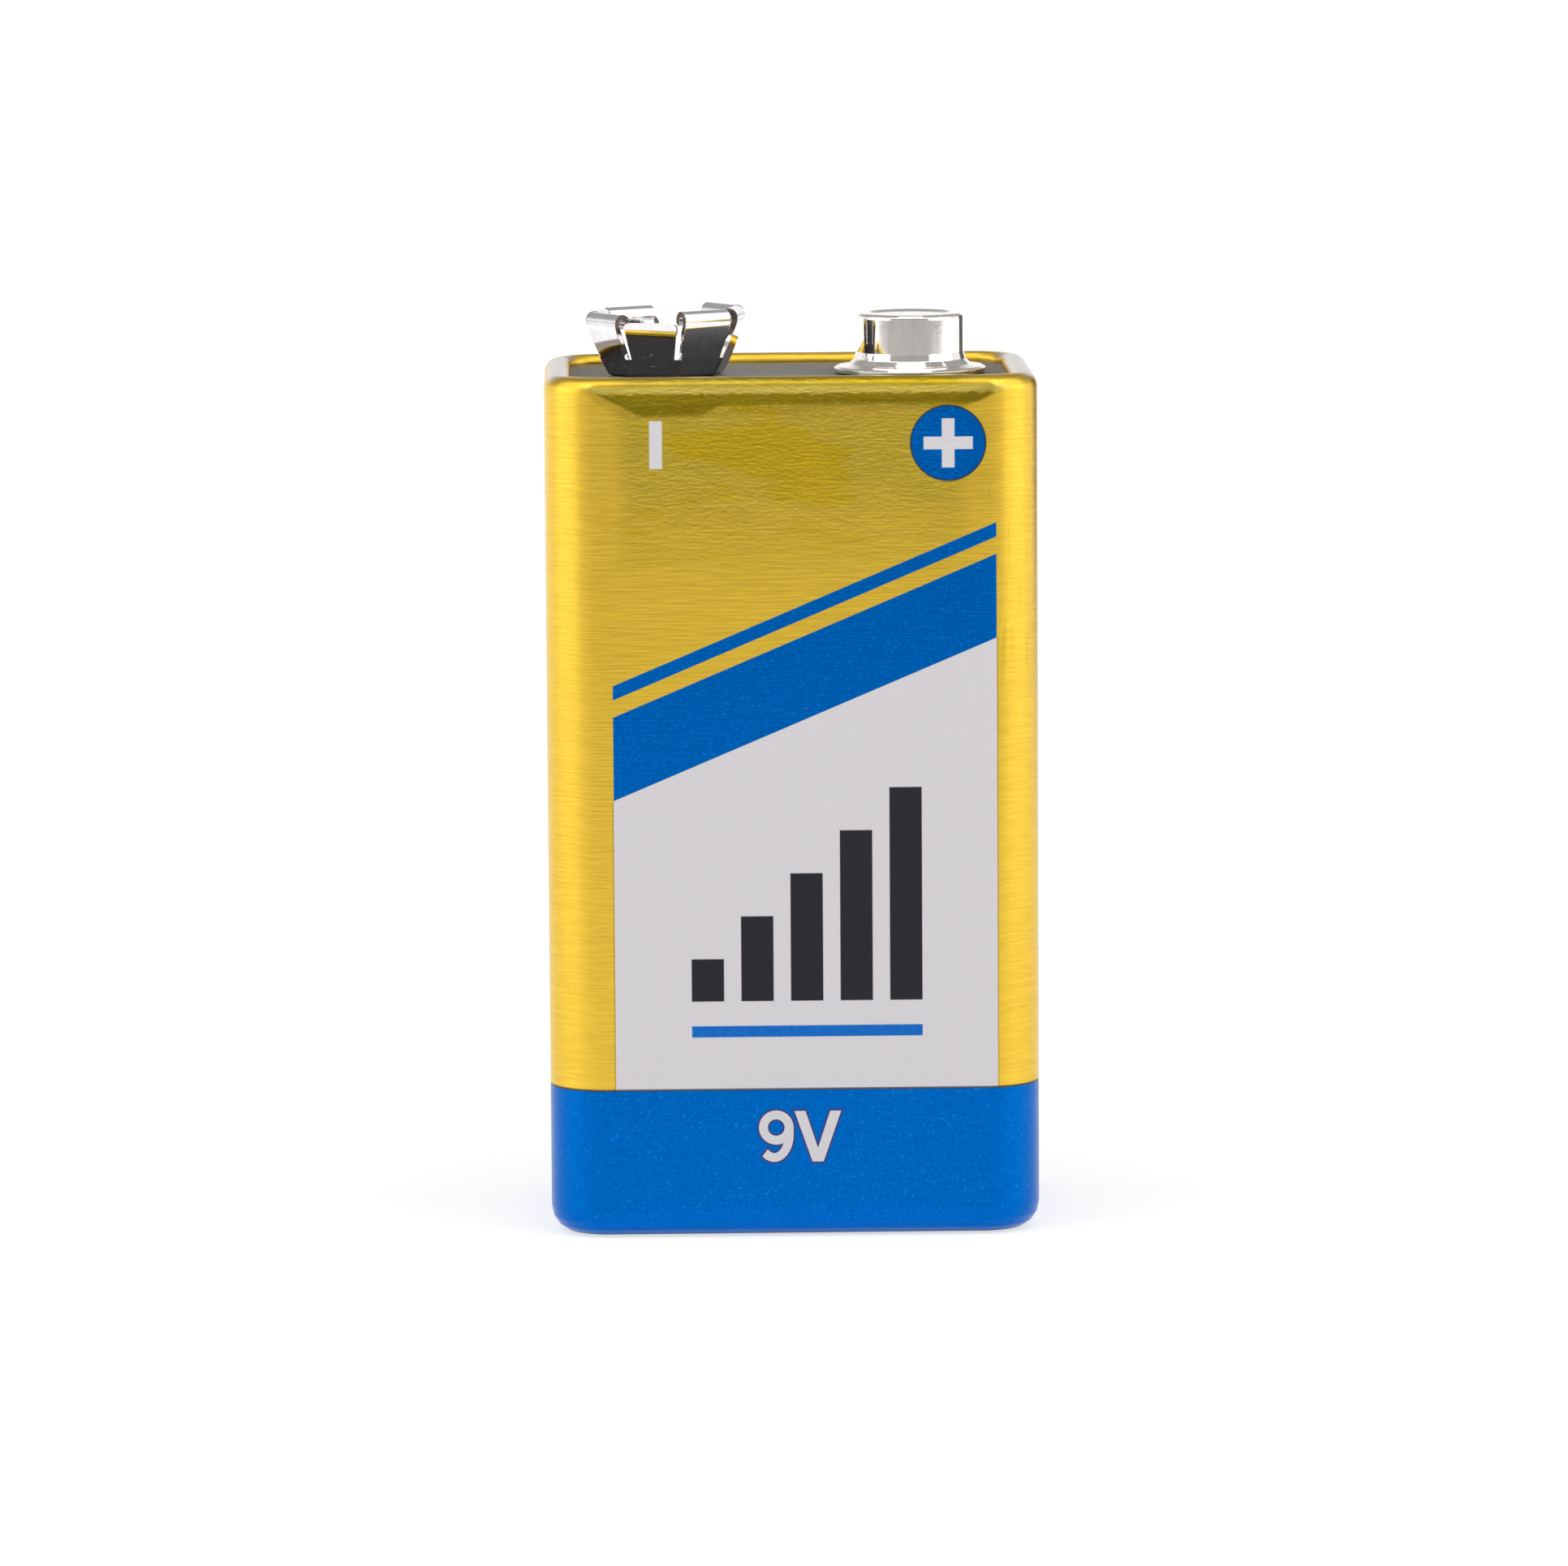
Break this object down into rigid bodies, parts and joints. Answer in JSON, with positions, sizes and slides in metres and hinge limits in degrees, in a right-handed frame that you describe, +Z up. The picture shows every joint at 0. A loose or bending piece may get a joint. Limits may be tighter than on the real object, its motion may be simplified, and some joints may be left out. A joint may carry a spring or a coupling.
{
  "type": "nine volt block battery",
  "caption": "Rectangular dry battery in a printed metal jacket, with a round stud and a petalled snap socket side by side on its top board.",
  "frame": {"origin": "centre of the base, on the surface that the battery stands on", "axes": "+Z up through the battery towards its terminals, +X towards the positive stud, -Y towards the printed front face"},
  "size_m": [0.0258, 0.0168, 0.0484],
  "materials": {
    "printed_sheet": "metallic gold lacquer with a blue band",
    "plated_metal": "bright nickel plate",
    "eyelet_metal": "nickel plate",
    "strip_metal": "bare",
    "cell_can": "nickel-plated steel can",
    "board": "black fibre board",
    "base_plastic": "black",
    "card": "waxed insulating card"
  },
  "bodies": {
    "root": {"jacket": "printed_sheet", "base_plate": "base_plastic", "bottom_card": "card", "top_card": "card", "top_board": "board", "negative_eyelet": "eyelet_metal", "positive_eyelet": "eyelet_metal", "negative_socket": "plated_metal", "positive_stud": "plated_metal", "negative_lead": "strip_metal", "positive_lead": "strip_metal", "cell_front_left": "cell_can", "cell_back_left": "cell_can", "cell_back_middle": "cell_can", "cell_front_middle": "cell_can", "cell_front_right": "cell_can", "cell_back_right": "cell_can", "bottom_strap_left": "strip_metal", "bottom_strap_middle": "strip_metal", "bottom_strap_right": "strip_metal", "top_strap_back": "strip_metal", "top_strap_front": "strip_metal"}
  },
  "joints": []
}
